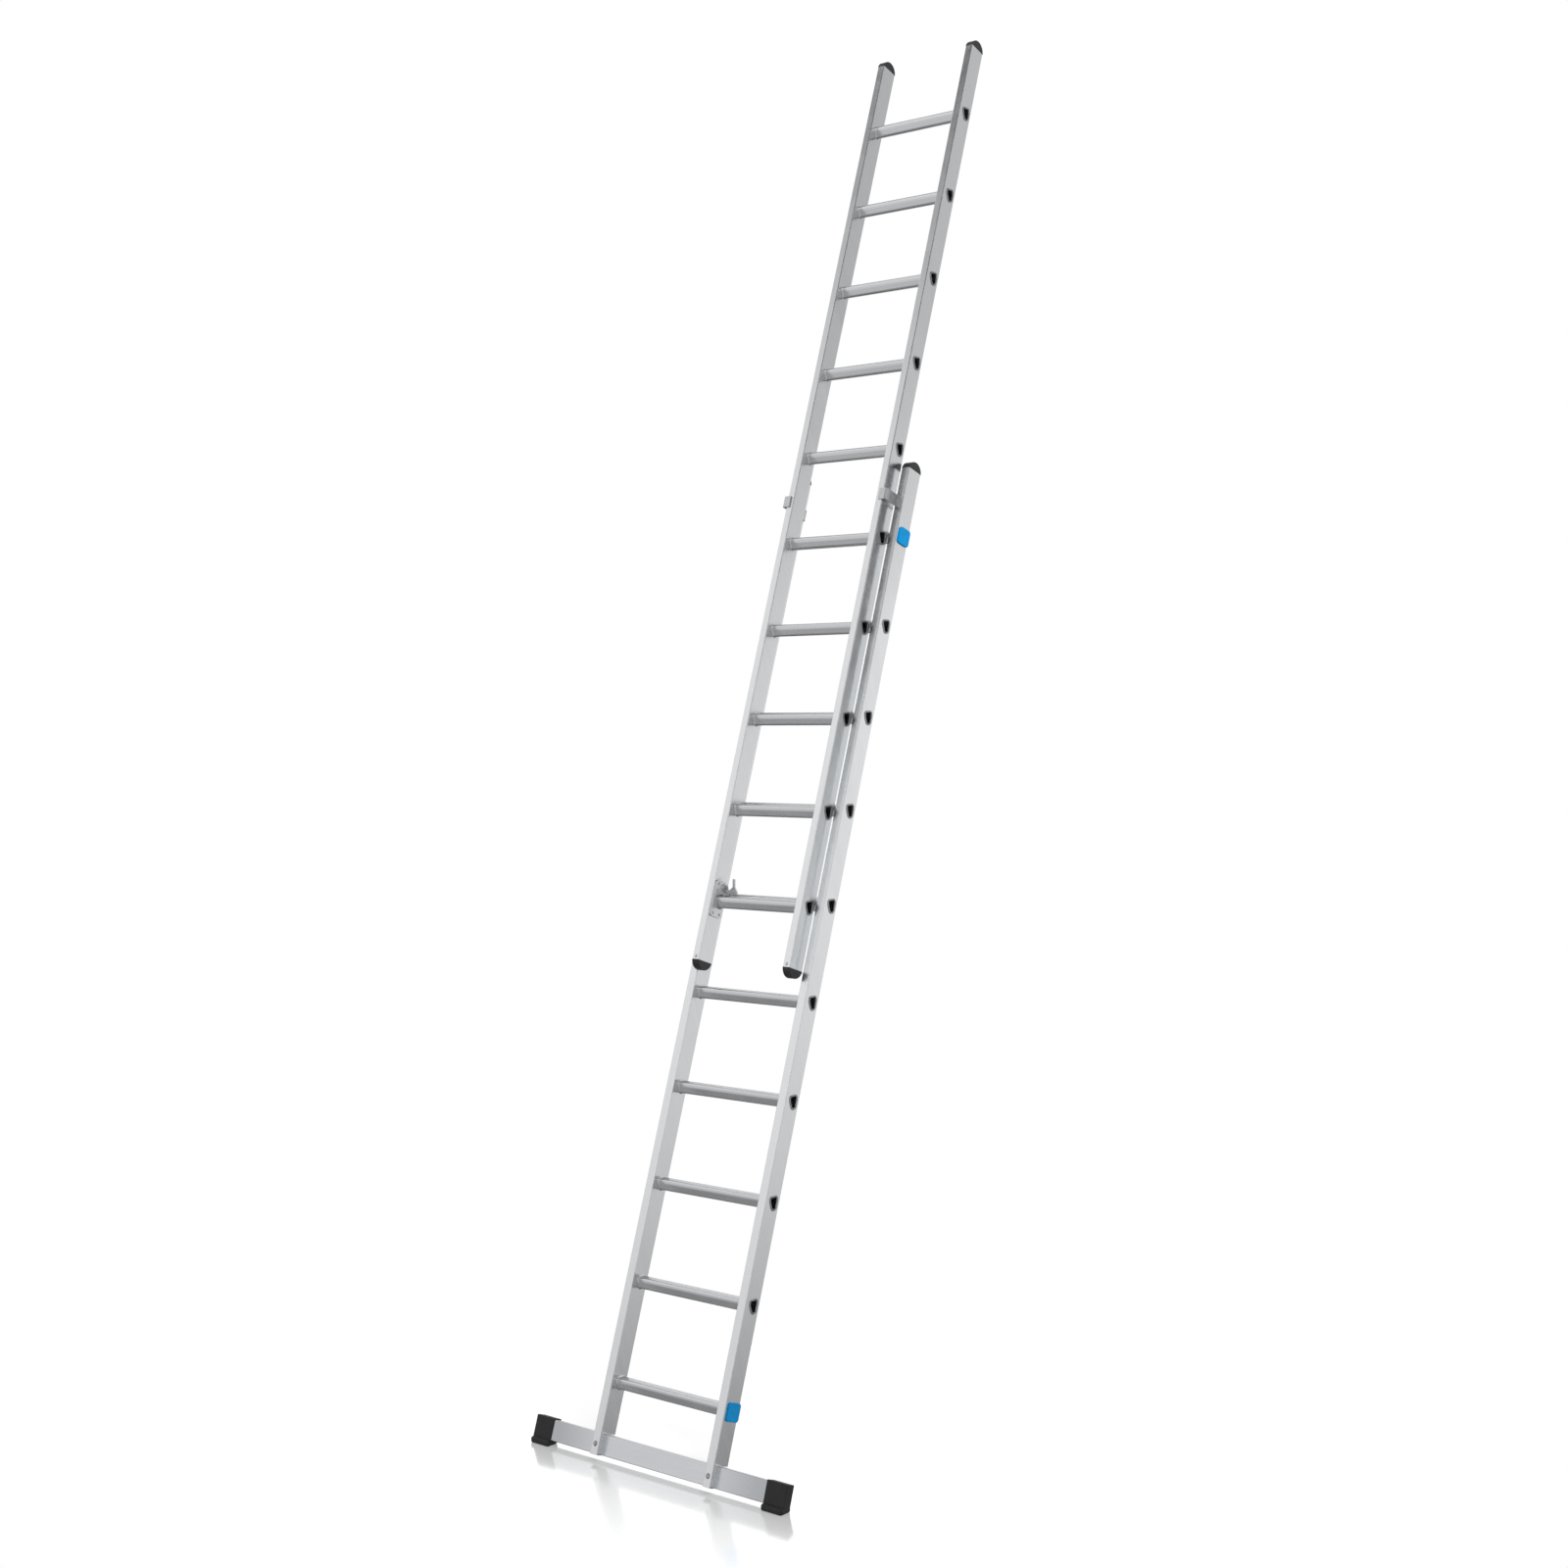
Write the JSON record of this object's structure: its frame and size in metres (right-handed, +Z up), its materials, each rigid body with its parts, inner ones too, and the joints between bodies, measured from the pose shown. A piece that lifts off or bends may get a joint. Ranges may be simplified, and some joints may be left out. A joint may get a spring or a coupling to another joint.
{
  "type": "extension ladder",
  "caption": "Two-section aluminium extension ladder leaning on a rubber-footed stabiliser bar; the fly section slides up the base and locks on its rungs with pivoting hooks.",
  "frame": {"origin": "on the ground, midway between the feet, under the middle of the stabiliser bar's underside", "axes": "+X across the rungs to the climber's right, +Y the way the ladder leans, +Z up"},
  "size_m": [0.92, 1.3503, 4.1642],
  "materials": {
    "stile_aluminium": "mill finish, extruded",
    "rung_aluminium": "mill finish, extruded",
    "black_plastic": "moulded, satin",
    "boot_rubber": "moulded, matt",
    "blue_plastic": "moulded, satin",
    "galvanised_steel": "zinc plated",
    "zinc_steel": "zinc plated",
    "rivet_steel": "plain"
  },
  "bodies": {
    "base": {"base_stile_left": "stile_aluminium", "base_stile_right": "stile_aluminium", "base_rung_01": "rung_aluminium", "base_rung_02": "rung_aluminium", "base_rung_03": "rung_aluminium", "base_rung_04": "rung_aluminium", "base_rung_05": "rung_aluminium", "base_rung_06": "rung_aluminium", "base_rung_07": "rung_aluminium", "base_rung_08": "rung_aluminium", "base_rung_09": "rung_aluminium", "base_rung_10": "rung_aluminium", "base_cap_left": "black_plastic", "base_cap_right": "black_plastic", "base_cap_rivets": "rivet_steel", "rung_plug_lower_left": "blue_plastic", "rung_plug_lower_right": "blue_plastic", "rung_plug_upper_left": "blue_plastic", "rung_plug_upper_right": "blue_plastic", "guide_bracket_left": "galvanised_steel", "guide_bracket_right": "galvanised_steel", "guide_rivets": "rivet_steel", "stabiliser_bar": "stile_aluminium", "stabiliser_bolts": "zinc_steel", "stabiliser_nuts": "zinc_steel", "stabiliser_foot_left": "boot_rubber", "stabiliser_foot_right": "boot_rubber"},
    "fly": {"fly_stile_left": "stile_aluminium", "fly_stile_right": "stile_aluminium", "fly_rung_01": "rung_aluminium", "fly_rung_02": "rung_aluminium", "fly_rung_03": "rung_aluminium", "fly_rung_04": "rung_aluminium", "fly_rung_05": "rung_aluminium", "fly_rung_06": "rung_aluminium", "fly_rung_07": "rung_aluminium", "fly_rung_08": "rung_aluminium", "fly_rung_09": "rung_aluminium", "fly_rung_10": "rung_aluminium", "fly_top_cap_left": "black_plastic", "fly_top_cap_right": "black_plastic", "fly_bottom_cap_left": "black_plastic", "fly_bottom_cap_right": "black_plastic", "fly_cap_rivets": "rivet_steel", "hook_bracket_left": "galvanised_steel", "hook_bracket_right": "galvanised_steel", "hook_rivets": "rivet_steel", "latch_pin_left": "zinc_steel", "latch_pin_right": "zinc_steel"},
    "latch_left": {"latch_left": "galvanised_steel"},
    "latch_right": {"latch_right": "galvanised_steel"}
  },
  "joints": [
    {"name": "fly_slide", "type": "slide", "parent": "base", "child": "fly", "axis": [0, 0.309, 0.9511], "range_m": [-1.4, 0.56]},
    {"name": "latch_left_pivot", "type": "hinge", "parent": "fly", "child": "latch_left", "pos_m": [-0.15, 0.47092, 1.56872], "axis": [1, 0, 0], "range_deg": [0, 130]},
    {"name": "latch_right_pivot", "type": "hinge", "parent": "fly", "child": "latch_right", "pos_m": [0.15, 0.47092, 1.56872], "axis": [1, 0, 0], "range_deg": [0, 130]}
  ]
}
